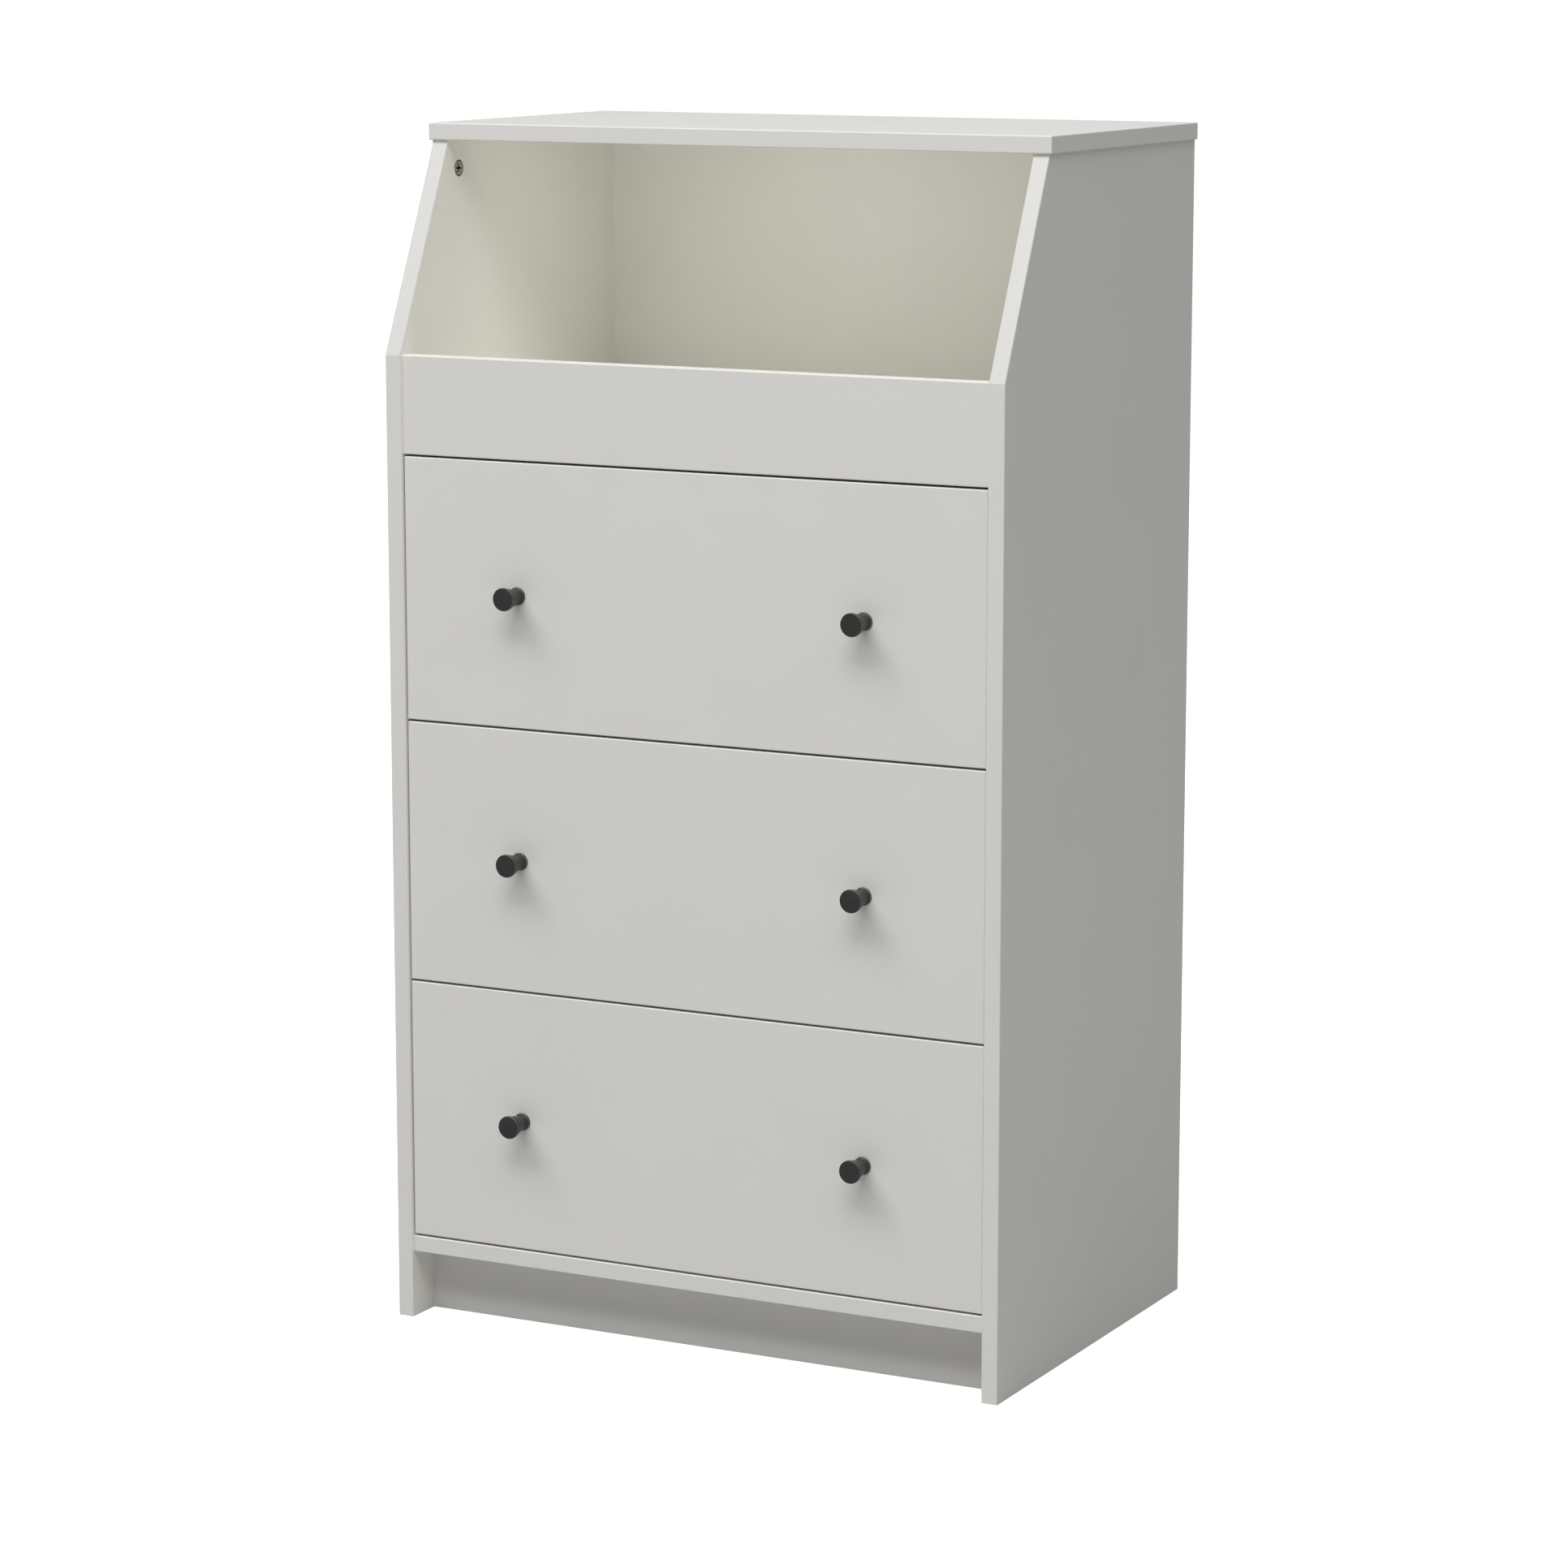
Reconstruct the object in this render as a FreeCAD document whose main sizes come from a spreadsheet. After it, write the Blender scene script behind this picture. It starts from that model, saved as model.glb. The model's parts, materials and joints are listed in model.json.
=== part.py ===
import FreeCAD, Part
import math
import os
import re
import Sketcher

# A tall chest of three drawers with an open, sloping cubby above them, in
# millimetres. +Z is up, the fronts face -Y, and the origin is on the floor
# under the middle of the whole chest, knobs included.

# ---------------------------------------------------------------- sizes
SIZES = {
    # carcass
    "carcass_width": 600,
    "carcass_depth": 402,
    "side_height": 1061,
    "board_thickness": 15,
    "front_y": -190,            # front edges of the side panels
    "edge_round": 1,            # rounding of the banded board edges
    "slope_foot_z": 876,        # where the side panels start to lean back
    "slope_head_z": 1058,
    "slope_depth": 85,          # how far back the lean has gone at the top
    "top_overhang": 3,
    "top_setback": 83,
    "inset": 3,                 # fronts and rail behind the side panels' edges
    "rail_bottom_z": 789,
    "rail_height": 87.5,
    "plinth_height": 61,
    "plinth_setback": 37,
    "hardboard": 3,
    "groove_width": 3.2,
    "groove_depth": 6,
    "groove_play": 0.5,         # free space at the bottom of a groove
    "back_inset": 13,           # bare edge behind the back panel
    # drawers
    "front_bottom_z": 78,
    "front_height": 235,
    "front_pitch": 237,
    "front_side_gap": 1.2,
    "box_board": 12,
    "box_length": 350,
    "box_height": 160,
    "box_lift": 22,             # box above its front's lower edge
    "base_lift": 10,            # drawer base above the box's lower edge
    # knobs
    "knob_spread": 169.5,       # knob axis from the middle
    "knob_reach": 25,
    "knob_face_radius": 10.3,
    "knob_bevel": 0.5,
    "knob_rim": 2,              # straight edge behind the face
    "knob_neck_radius": 6.4,
    "knob_flare": 120,          # radius of the hollow from the neck to the rim
    "knob_foot_radius": 8,
    "knob_foot_height": 1.6,
    "knob_ring_radius": 7,      # step between foot and neck
    "knob_ring_height": 1,
    "knob_screw_radius": 2,
    "knob_screw_depth": 10,
    "knob_screw_head": 2.6,
    "knob_bore_play": 0.05,
    "knob_bore_spare": 0.5,     # bore past the screw's end
    "knob_hole_play": 0.25,     # in the drawer front
    # roller runners, all measured from the side panel or from the rail's foot
    "runner_gap": 12.5,
    "steel": 1.2,
    "rail_length": 350,
    "rail_start_gap": 2,        # cabinet rail behind the drawer front
    "rail_tall": 24.4,
    "rail_deep": 10.5,
    "tread_z": 17.8,            # underside of the drawer rail's upper flange
    "tread_start": 2,
    "rail_shoe": 11.5,          # flange under the drawer side
    "rail_screw_z": 20.6,
    "rail_screw_front": 60,     # screws, from the side panels' front edges
    "rail_screw_middle": 190,
    "rail_screw_rear": 350,
    "shoe_screw_front": 50,
    "shoe_screw_rear": 330,
    "roller_radius": 8,
    "roller_width": 8,
    "roller_start": 2.2,
    "axle_z": 9.5,
    "axle_radius": 2,
    "axle_play": 0.05,
    "axle_head_radius": 3,
    "axle_head": 0.6,
    "axle_head_gap": 0.1,
    "front_axle_back": 30,      # from the side panels' front edges
    "rear_axle_back": 355,
    # fittings
    "cam_radius": 7.5,
    "cam_depth": 12.5,
    "box_cam_radius": 6,
    "box_cam_depth": 9.5,
    "cam_distance": 25.5,       # cam centre from the joint face
    "cam_slot": 1.4,
    "cam_slot_depth": 2.2,
    "cam_slot_reach": 0.6,      # of the cam's radius
    "cam_hook_gap": 1,          # free space before the bolt's head
    "top_cam_front": 104.6,     # from the side panels' front edges
    "top_dowel_rear": 318,
    "floor_cam_front": 60,
    "floor_cam_rear": 340,
    "rail_cam_lift": 33,        # above the front rail's lower edge
    "rail_dowel_lift": 65,
    "plinth_cam_z": 18,
    "plinth_dowel_z": 44,
    "box_cam_low": 32,          # above a drawer box's lower edge
    "box_cam_high": 120,
    "box_screw_low": 50,
    "box_screw_high": 125,
    "dowel_offset": 32,         # dowel beside its cam lock
    "bolt_radius": 2.5,
    "bolt_grip": 11,
    "bolt_head_start": 1.5,
    "bolt_head_height": 3,
    "bolt_head_radius": 3.3,
    "bolt_shank_radius": 1.9,
    "bolt_collar": 2,
    "box_channel_radius": 3,
    "box_bolt_radius": 2,
    "box_bolt_head_radius": 2.5,
    "box_bolt_shank_radius": 1.5,
    "fit_play": 0.1,
    "dowel_radius": 4,
    "dowel_length": 30,
    "dowel_short_end": 10,
    "nail_radius": 0.7,
    "nail_length": 20,
    "nail_head_radius": 2,
    "nail_head": 0.6,
    "nail_spacing": 130,
    "screw_radius": 1.8,
    "screw_head_radius": 2.5,
    "screw_head": 0.6,
    "screw_length": 12,
    "shoe_screw": 10,
    "long_screw": 30,
    "bracket_spread": 200,      # wall bracket from the middle
    "bracket_leg": 15,
    "bracket_width": 20,
    "bracket_steel": 1.5,
    "wall_hole_radius": 2.5,
    "wall_hole_lift": 6,        # above the bracket's foot
    "top_hole_back": 9,         # in front of the back panel
}
DRAWERS = ("upper", "middle", "lower")      # from the top down

X = FreeCAD.Vector(1, 0, 0)
Y = FreeCAD.Vector(0, 1, 0)
Z = FreeCAD.Vector(0, 0, 1)

doc = FreeCAD.newDocument("chest_of_drawers")
sheet = doc.addObject("Spreadsheet::Sheet", "Sizes")
for row, (alias, size) in enumerate(SIZES.items(), start=1):
    sheet.set(f"A{row}", alias)
    sheet.set(f"B{row}", str(size))
    sheet.setAlias(f"B{row}", alias)
doc.recompute()

NODES = []


# -------------------------------------------------------------- helpers
def linked(text):
    """The expression with each size's name pointing at its cell."""
    return re.sub(r"[a-z]\w*", lambda m: "Sizes." + m[0] if m[0] in SIZES else m[0], str(text))


def number(text):
    """The value of a sum of the sheet's sizes."""
    figures = re.sub(r"[a-z]\w*", lambda m: str(sheet.get(m[0])), str(text))
    return FreeCAD.Units.parseQuantity(figures).Value


def vector(at):
    return FreeCAD.Vector(*[number(c) for c in at])


def place(thing, at, rotation=None):
    """Binds a piece's position to the sheet."""
    thing.Placement = FreeCAD.Placement(FreeCAD.Vector(), rotation or FreeCAD.Rotation())
    for axis, text in zip("xyz", at):
        thing.setExpression(f"Placement.Base.{axis}", linked(text))
    return thing


def node(thing, name):
    """Marks an object as a finished piece with its own file."""
    thing.Label = name
    NODES.append(thing)
    return thing


def banded(edge, bounds, faces):
    """Whether a board's edge is rounded: all of them, or the long ones on the named faces."""
    if faces == "all":
        return True
    along_x = edge.BoundBox.XLength > 1
    on_front = edge.BoundBox.YMax < bounds.YMin + 1e-6
    on_top = edge.BoundBox.ZMin > bounds.ZMax - 1e-6
    return along_x and (("front" in faces and on_front) or ("top" in faces and on_top))


def block(size, at, rounded=""):
    """A rectangular board, its lowest corner at a place. rounded names the faces whose long
    edges are rounded, or all."""
    box = doc.addObject("Part::Box", "Board")
    for side, text in zip(("Length", "Width", "Height"), size):
        box.setExpression(side, linked(text))
    place(box, at)
    if not rounded:
        return box
    doc.recompute()
    radius = number("edge_round")
    soft = doc.addObject("Part::Fillet", "Rounded")
    soft.Base = box
    soft.Edges = [
        (i + 1, radius, radius) for i, edge in enumerate(box.Shape.Edges)
        if banded(edge, box.Shape.BoundBox, rounded)
    ]
    return soft


def rod(radius, length, start, direction):
    """A cylinder from a place along a direction."""
    pin = doc.addObject("Part::Cylinder", "Rod")
    pin.setExpression("Radius", linked(radius))
    pin.setExpression("Height", linked(length))
    return place(pin, start, FreeCAD.Rotation(Z, direction))


def fused(pieces):
    """Several shapes as one."""
    if len(pieces) == 1:
        return pieces[0]
    union = doc.addObject("Part::MultiFuse", "Union")
    union.Shapes = pieces
    return union


def cut(base, tools):
    """A piece with holes and grooves taken out."""
    if not tools:
        return base
    result = doc.addObject("Part::Cut", "Machined")
    result.Base = base
    result.Tool = fused(tools)
    return result


def group(name, members):
    """Separate solids that share one node."""
    together = doc.addObject("Part::Compound", "Group")
    together.Links = members
    return node(together, name)


def plane_of(body, role):
    return next(f for f in body.Origin.OriginFeatures if f.Role == role)


def outline(body, role, corners, hollows=None):
    """A closed sketch, anticlockwise through corners given as expressions. hollows maps a corner's
    number to the radius of the hollow arc that leaves it."""
    hollows = hollows or {}
    sketch = body.newObject("Sketcher::SketchObject", "Outline")
    sketch.AttachmentSupport = (plane_of(body, role), [""])
    sketch.MapMode = "FlatFace"
    points = [FreeCAD.Vector(number(x), number(y), 0) for x, y in corners]
    ends = []       # each stretch's number, and which of its ends comes first and last
    for i, here in enumerate(points):
        there = points[(i + 1) % len(points)]
        if i in hollows:
            geo = sketch.addGeometry(hollow_arc(here, there, number(hollows[i])))
            ends.append((geo, 2, 1))
        else:
            geo = sketch.addGeometry(Part.LineSegment(here, there))
            ends.append((geo, 1, 2))
    for i, (geo, _, last) in enumerate(ends):
        after, first, _ = ends[(i + 1) % len(ends)]
        sketch.addConstraint(Sketcher.Constraint("Coincident", geo, last, after, first))
    for i, (geo, first, _) in enumerate(ends):
        for kind, axis, text in (("DistanceX", -2, corners[i][0]), ("DistanceY", -1, corners[i][1])):
            if number(text) == 0:
                sketch.addConstraint(Sketcher.Constraint("PointOnObject", geo, first, axis))
                continue
            index = sketch.addConstraint(
                Sketcher.Constraint(kind, -1, 1, geo, first, number(text)))
            sketch.setExpression(f"Constraints[{index}]", linked(text))
    for i, radius in hollows.items():
        index = sketch.addConstraint(Sketcher.Constraint("Radius", ends[i][0], number(radius)))
        sketch.setExpression(f"Constraints[{index}]", linked(radius))
    return sketch


def hollow_arc(here, there, radius):
    """The arc between two points that is centred to the right of the way, so it bends inwards."""
    chord = there - here
    right = FreeCAD.Vector(chord.y, -chord.x, 0).normalize()
    centre = (here + there) / 2 + right * math.sqrt(radius ** 2 - chord.Length ** 2 / 4)
    start = math.atan2(there.y - centre.y, there.x - centre.x)
    stop = math.atan2(here.y - centre.y, here.x - centre.x)
    return Part.ArcOfCircle(Part.Circle(centre, Z, radius), start, stop)


def extruded(role, corners, length):
    """A body with one outline padded along the plane's normal."""
    body = doc.addObject("PartDesign::Body", "Profile")
    pad = body.newObject("PartDesign::Pad", "Pad")
    pad.Profile = outline(body, role, corners)
    pad.setExpression("Length", linked(length))
    doc.recompute()
    return body


def turned(corners, hollows=None):
    """A body turned about its own Z axis, from an outline in its XZ plane."""
    body = doc.addObject("PartDesign::Body", "Turned")
    sketch = outline(body, "XZ_Plane", corners, hollows)
    spin = body.newObject("PartDesign::Revolution", "Revolution")
    spin.Profile = sketch
    spin.ReferenceAxis = (sketch, ["V_Axis"])
    spin.Angle = 360
    doc.recompute()
    return body


def copies(name, *sets):
    """Pieces repeated at many places, as separate solids of one node. Each set is a pattern and
    the list of its placements."""
    doc.recompute()
    shapes = []
    for pattern, placements in sets:
        for placement in placements:
            shape = pattern.Shape.copy()
            shape.Placement = placement
            shapes.append(shape)
    many = doc.addObject("Part::Feature", "Copies")
    many.Shape = Part.makeCompound(shapes)
    return node(many, name)


def towards(start, along, other):
    """A placement at a place, with local Z along one direction and local X along another."""
    turn = FreeCAD.Rotation(other, along.cross(other), along, "ZXY")
    return FreeCAD.Placement(start, turn)


def shifted(at, direction, text):
    """A place moved by a length along an axis direction."""
    return tuple(c if d == 0 else f"{c} + {d:g} * ({text})" for c, d in zip(at, direction))


holes = {}          # board name: the tools that drill and groove it
cams = {}           # fitting group: placements of its cam locks
bolts = {}
dowels = []


def drill(board, radius, depth, start, direction):
    holes.setdefault(board, []).append(rod(radius, depth, start, direction))


def groove(board, size, at):
    holes.setdefault(board, []).append(block(size, at))


def cam_joint(fittings, cam_board, bolt_board, mouth, out, towards_joint):
    """A cam lock in one board, its mouth on a face, drawing a bolt that is screwed in the other."""
    small = fittings != "carcass"
    cam = "box_cam" if small else "cam"
    middle = shifted(mouth, -out, "box_board / 2" if small else "board_thickness / 2")
    joint = shifted(middle, towards_joint, "cam_distance")
    drill(cam_board, f"{cam}_radius", f"{cam}_depth", mouth, -out)
    drill(cam_board, "box_channel_radius" if small else "dowel_radius", "cam_distance",
          middle, towards_joint)
    drill(bolt_board, "box_bolt_radius" if small else "bolt_radius", "bolt_grip",
          joint, towards_joint)
    cams.setdefault(fittings, []).append(towards(vector(mouth), out, towards_joint))
    bolts.setdefault(fittings, []).append(towards(vector(middle), towards_joint, out))


def dowel_joint(long_board, short_board, joint, towards_short):
    """A glued dowel across a joint, deeper in the board whose edge it enters."""
    deep = shifted(joint, -towards_short, "dowel_length - dowel_short_end")
    drill(long_board, "dowel_radius", "dowel_length - dowel_short_end", deep, towards_short)
    drill(short_board, "dowel_radius", "dowel_short_end", joint, towards_short)
    dowels.append(towards(vector(deep), towards_short, other_axis(towards_short)))


def other_axis(direction):
    return X if abs(direction.x) < 0.5 else Z


def screw(length, radius="screw_radius", head="screw_head_radius", head_height="screw_head"):
    """A screw or nail driven along +Z, with the underside of its head at the origin."""
    return turned([
        ("0", f"0 - {head_height}"),
        (head, f"0 - {head_height}"),
        (head, "0"),
        (radius, "0"),
        (radius, length),
        ("0", length),
    ])


# ------------------------------------------------- joints of the carcass
INNER = "carcass_width / 2 - board_thickness"
BACK_Y = "front_y + carcass_depth - back_inset - hardboard"     # back panel's front face
RAIL_BACK_Y = "front_y + inset + board_thickness"
SIDES = {"left": -1, "right": 1}

for side, sign in SIDES.items():
    panel = f"side_panel_{side}"
    out = X * sign
    inner_x = f"{sign} * ({INNER})"
    middle_x = f"{sign} * ({INNER} + board_thickness / 2)"
    cam_x = f"{sign} * ({INNER} - cam_distance)"
    groove(panel, ("groove_depth", "groove_width", "side_height"),
           (inner_x if sign > 0 else f"{inner_x} - groove_depth", BACK_Y, "plinth_height"))
    # the top is drawn down by one cam lock in each side panel, near the front
    cam_joint("carcass", panel, "top_panel",
              (inner_x, "front_y + top_cam_front", "side_height - cam_distance"), -out, Z)
    for y in ("front_y + top_cam_front + dowel_offset", "front_y + top_dowel_rear"):
        dowel_joint(panel, "top_panel", (middle_x, y, "side_height"), Z)
    # the floors carry theirs underneath, out of sight
    for floor, under in (("bottom_panel", "plinth_height"), ("cubby_shelf", "rail_bottom_z")):
        for y in ("front_y + floor_cam_front", "front_y + floor_cam_rear"):
            cam_joint("carcass", floor, panel, (cam_x, y, under), -Z, out)
        for y in ("front_y + floor_cam_front + dowel_offset", "front_y + floor_cam_rear - dowel_offset"):
            dowel_joint(floor, panel, (inner_x, y, f"{under} + board_thickness / 2"), out)
    # rail and plinth carry theirs on the back
    rear_y = "front_y + plinth_setback + board_thickness"
    cross_boards = (
        ("front_rail", RAIL_BACK_Y, "rail_bottom_z + rail_cam_lift", "rail_bottom_z + rail_dowel_lift"),
        ("plinth_board", rear_y, "plinth_cam_z", "plinth_dowel_z"),
    )
    for cross_board, y, cam_z, dowel_z in cross_boards:
        cam_joint("carcass", cross_board, panel, (cam_x, y, cam_z), Y, out)
        dowel_joint(cross_board, panel, (inner_x, f"{y} - board_thickness / 2", dowel_z), out)

groove("top_panel", (f"2 * ({INNER} + groove_depth)", "groove_width", "groove_depth"),
       (f"-({INNER} + groove_depth)", BACK_Y, "side_height"))

# --------------------------------------------------- runners and rollers
RAIL_START_Y = "front_y + inset + board_thickness + rail_start_gap"
FRONT_AXLE_Y = "front_y + front_axle_back"
REAR_AXLE_Y = "front_y + rear_axle_back"
FRONT_Z = {
    drawer: f"front_bottom_z + {len(DRAWERS) - 1 - row} * front_pitch"
    for row, drawer in enumerate(DRAWERS)
}
BOX_Z = {drawer: f"{front_z} + box_lift" for drawer, front_z in FRONT_Z.items()}

# outlines of the steel rails, in from the side panel and up from the rail's foot
CABINET_RAIL = [
    ("0", "0"),
    ("rail_deep", "0"),
    ("rail_deep", "steel"),
    ("steel", "steel"),
    ("steel", "rail_tall - steel"),
    ("rail_deep", "rail_tall - steel"),
    ("rail_deep", "rail_tall"),
    ("0", "rail_tall"),
]
DRAWER_RAIL = [
    ("runner_gap - steel", "0"),
    ("runner_gap + rail_shoe", "0"),
    ("runner_gap + rail_shoe", "steel"),
    ("runner_gap", "steel"),
    ("runner_gap", "tread_z + steel"),
    ("tread_start", "tread_z + steel"),
    ("tread_start", "tread_z"),
    ("runner_gap - steel", "tread_z"),
]


def beside(sign, drawer, inward, y, up):
    """A place a distance in from a side panel, and above the foot of a drawer's rails."""
    return (f"{sign} * ({INNER} - ({inward}))", y, f"{BOX_Z[drawer]} - steel + {up}")


def steel_rail(sign, drawer, corners, start_y):
    """A rail of folded steel, running back along a side panel from start_y."""
    inward = X * -sign
    rail = extruded("XY_Plane", corners, "rail_length")
    begin = start_y if sign > 0 else f"{start_y} + rail_length"
    return place(rail, beside(sign, drawer, "0", begin, "0"),
                 FreeCAD.Rotation(inward, Z, inward.cross(Z), "ZXY"))


def riveted_axle(sign, drawer, y, foot, tip, step):
    """A roller's axle from the middle of its rail's steel to its flat head. foot and tip are
    distances in from the side panel, and step is the side of foot that tip is on."""
    direction = X * -sign * step
    start = beside(sign, drawer, foot, y, "axle_z")
    head = beside(sign, drawer, tip, y, "axle_z")
    return [
        rod("axle_radius", f"{step} * ({tip} - ({foot}))", start, direction),
        rod("axle_head_radius", "axle_head", head, direction),
    ]


def roller(sign, drawer, y):
    start = beside(sign, drawer, "roller_start", y, "axle_z")
    inward = X * -sign
    return cut(rod("roller_radius", "roller_width", start, inward),
               [rod("axle_radius + axle_play", "roller_width", start, inward)])


cabinet_rails = {}
drawer_rails = {}
front_rollers = {}
rear_rollers = {}
runner_screws = []
shoe_screws = {}
corner_screws = {}


def fit_cabinet_rail(drawer, side, sign):
    """The rail on the side panel, with the front roller's axle and three screws."""
    inward = X * -sign
    rail_holes = []
    for from_front in ("rail_screw_front", "rail_screw_middle", "rail_screw_rear"):
        wall = beside(sign, drawer, "0", f"front_y + {from_front}", "rail_screw_z")
        head = beside(sign, drawer, "steel", f"front_y + {from_front}", "rail_screw_z")
        rail_holes.append(rod("screw_radius", "steel", wall, inward))
        drill(f"side_panel_{side}", "screw_radius", "screw_length - steel", wall, -inward)
        runner_screws.append(towards(vector(head), -inward, Z))
    rail = cut(steel_rail(sign, drawer, CABINET_RAIL, RAIL_START_Y), rail_holes)
    axle = riveted_axle(sign, drawer, FRONT_AXLE_Y, "steel / 2",
                        "roller_start + roller_width + axle_head_gap", 1)
    cabinet_rails.setdefault(drawer, []).append(fused([rail] + axle))
    front_rollers.setdefault(drawer, []).append(roller(sign, drawer, FRONT_AXLE_Y))


def fit_drawer_rail(drawer, side, sign):
    """The rail under the drawer side, with the rear roller's axle and three screws."""
    rail_holes = []
    for from_front in ("shoe_screw_front", "rail_screw_middle", "shoe_screw_rear"):
        low = beside(sign, drawer, "runner_gap + rail_shoe / 2", f"front_y + {from_front}", "0")
        rail_holes.append(rod("screw_radius", "steel", low, Z))
        drill(f"{drawer}_drawer_side_{side}", "screw_radius", "shoe_screw - steel",
              shifted(low, Z, "steel"), Z)
        shoe_screws.setdefault(drawer, []).append(towards(vector(low), Z, X))
    rail = cut(steel_rail(sign, drawer, DRAWER_RAIL, RAIL_BACK_Y), rail_holes)
    axle = riveted_axle(sign, drawer, REAR_AXLE_Y, "runner_gap - steel / 2",
                        "roller_start - axle_head_gap", -1)
    drawer_rails.setdefault(drawer, []).append(fused([rail] + axle))
    rear_rollers.setdefault(drawer, []).append(roller(sign, drawer, REAR_AXLE_Y))


def join_drawer_side(drawer, side, sign):
    """Cam locks towards the drawer front, screws into the drawer back, and the base's groove."""
    inward = X * -sign
    box_side = f"{drawer}_drawer_side_{side}"
    inner_x = f"{sign} * ({INNER} - runner_gap - box_board)"
    outer_x = f"{sign} * ({INNER} - runner_gap)"
    for up in ("box_cam_low", "box_cam_high"):
        mouth = (inner_x, f"{RAIL_BACK_Y} + cam_distance", f"{BOX_Z[drawer]} + {up}")
        cam_joint(drawer, box_side, f"{drawer}_drawer_front", mouth, inward, -Y)
    for up in ("box_screw_low", "box_screw_high"):
        head = (outer_x, f"{RAIL_BACK_Y} + box_length - box_board / 2", f"{BOX_Z[drawer]} + {up}")
        drill(box_side, "screw_radius", "box_board", head, inward)
        drill(f"{drawer}_drawer_back", "screw_radius", "long_screw - box_board",
              shifted(head, inward, "box_board"), inward)
        corner_screws.setdefault(drawer, []).append(towards(vector(head), inward, Z))
    groove(box_side, ("groove_depth", "box_length", "groove_width"),
           (inner_x if sign > 0 else f"{inner_x} - groove_depth", RAIL_BACK_Y,
            f"{BOX_Z[drawer]} + base_lift"))


for drawer in DRAWERS:
    for side, sign in SIDES.items():
        fit_cabinet_rail(drawer, side, sign)
        fit_drawer_rail(drawer, side, sign)
        join_drawer_side(drawer, side, sign)

# ------------------------------------------------------------ carcass
SIDE_OUTLINE = [
    ("0", "0"),
    ("carcass_depth", "0"),
    ("carcass_depth", "side_height"),
    ("slope_depth", "side_height"),
    ("slope_depth", "slope_head_z"),
    ("0", "slope_foot_z"),
]
for side, sign in SIDES.items():
    panel = extruded("YZ_Plane", SIDE_OUTLINE, "board_thickness")
    front_edges = [
        f"Edge{i + 1}" for i, edge in enumerate(panel.Shape.Edges)
        if edge.CenterOfMass.y < number("slope_depth") - 1 and edge.Length > 100
        and abs(edge.tangentAt(edge.FirstParameter).z) > 0.5
    ]
    pad = panel.Tip
    soft = panel.newObject("PartDesign::Fillet", "Banding")
    soft.Base = (pad, front_edges)
    soft.setExpression("Radius", linked("edge_round"))
    panel.Tip = soft
    place(panel, ("-carcass_width / 2" if sign < 0 else INNER, "front_y", "0"))
    node(cut(panel, holes[f"side_panel_{side}"]), f"side_panel_{side}")


def board(name, size, at, rounded="", tools=()):
    """A finished board: rounded, then drilled and grooved."""
    return node(cut(block(size, at, rounded), holes.get(name, []) + list(tools)), name)


LEFT_INNER = f"-({INNER})"
INNER_WIDTH = f"2 * ({INNER})"
FLOOR_DEPTH = "carcass_depth - back_inset - hardboard - inset"

# wall brackets: an angle under the top, with one hole for the wall and one for the top
bracket_bodies = []
bracket_screws = []
wall_holes = []
for sign in SIDES.values():
    angle = extruded("YZ_Plane", [
        ("0", "0"), ("0 - bracket_steel", "0"), ("0 - bracket_steel", "bracket_leg - bracket_steel"),
        ("0 - bracket_leg", "bracket_leg - bracket_steel"), ("0 - bracket_leg", "bracket_leg"),
        ("0", "bracket_leg"),
    ], "bracket_width")
    middle_x = f"{sign} * bracket_spread"
    foot_z = "side_height - bracket_leg"
    place(angle, (f"{middle_x} - bracket_width / 2", BACK_Y, foot_z))
    wall_hole = (middle_x, f"{BACK_Y} - bracket_steel", f"{foot_z} + wall_hole_lift")
    top_hole = (middle_x, f"{BACK_Y} - top_hole_back", "side_height - bracket_steel")
    bracket_bodies.append(cut(angle, [
        rod("wall_hole_radius", "bracket_steel", wall_hole, Y),
        rod("screw_radius", "bracket_steel", top_hole, Z),
    ]))
    wall_holes.append(rod("wall_hole_radius", "hardboard", shifted(wall_hole, Y, "bracket_steel"), Y))
    drill("top_panel", "screw_radius", "screw_length - bracket_steel",
          shifted(top_hole, Z, "bracket_steel"), Z)
    bracket_screws.append(towards(vector(top_hole), Z, X))

# nails through the back panel into the rear edges of both floors
nails = []
nail_holes = []
for floor, under in (("bottom_panel", "plinth_height"), ("cubby_shelf", "rail_bottom_z")):
    for step in range(-2, 3):
        head = (f"{step} * nail_spacing", f"{BACK_Y} + hardboard", f"{under} + board_thickness / 2")
        nail_holes.append(rod("nail_radius", "hardboard", head, -Y))
        drill(floor, "nail_radius", "nail_length - hardboard", shifted(head, -Y, "hardboard"), -Y)
        nails.append(towards(vector(head), -Y, X))

board("top_panel",
      ("carcass_width + 2 * top_overhang", "carcass_depth - top_setback", "board_thickness"),
      ("-(carcass_width / 2 + top_overhang)", "front_y + top_setback", "side_height"), "all")
board("bottom_panel", (INNER_WIDTH, FLOOR_DEPTH, "board_thickness"),
      (LEFT_INNER, "front_y + inset", "plinth_height"), "front")
board("cubby_shelf", (INNER_WIDTH, f"{FLOOR_DEPTH} - board_thickness", "board_thickness"),
      (LEFT_INNER, RAIL_BACK_Y, "rail_bottom_z"))
board("front_rail", (INNER_WIDTH, "board_thickness", "rail_height"),
      (LEFT_INNER, "front_y + inset", "rail_bottom_z"), "front top")
board("plinth_board", (INNER_WIDTH, "board_thickness", "plinth_height"),
      (LEFT_INNER, "front_y + plinth_setback", "0"))
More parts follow.
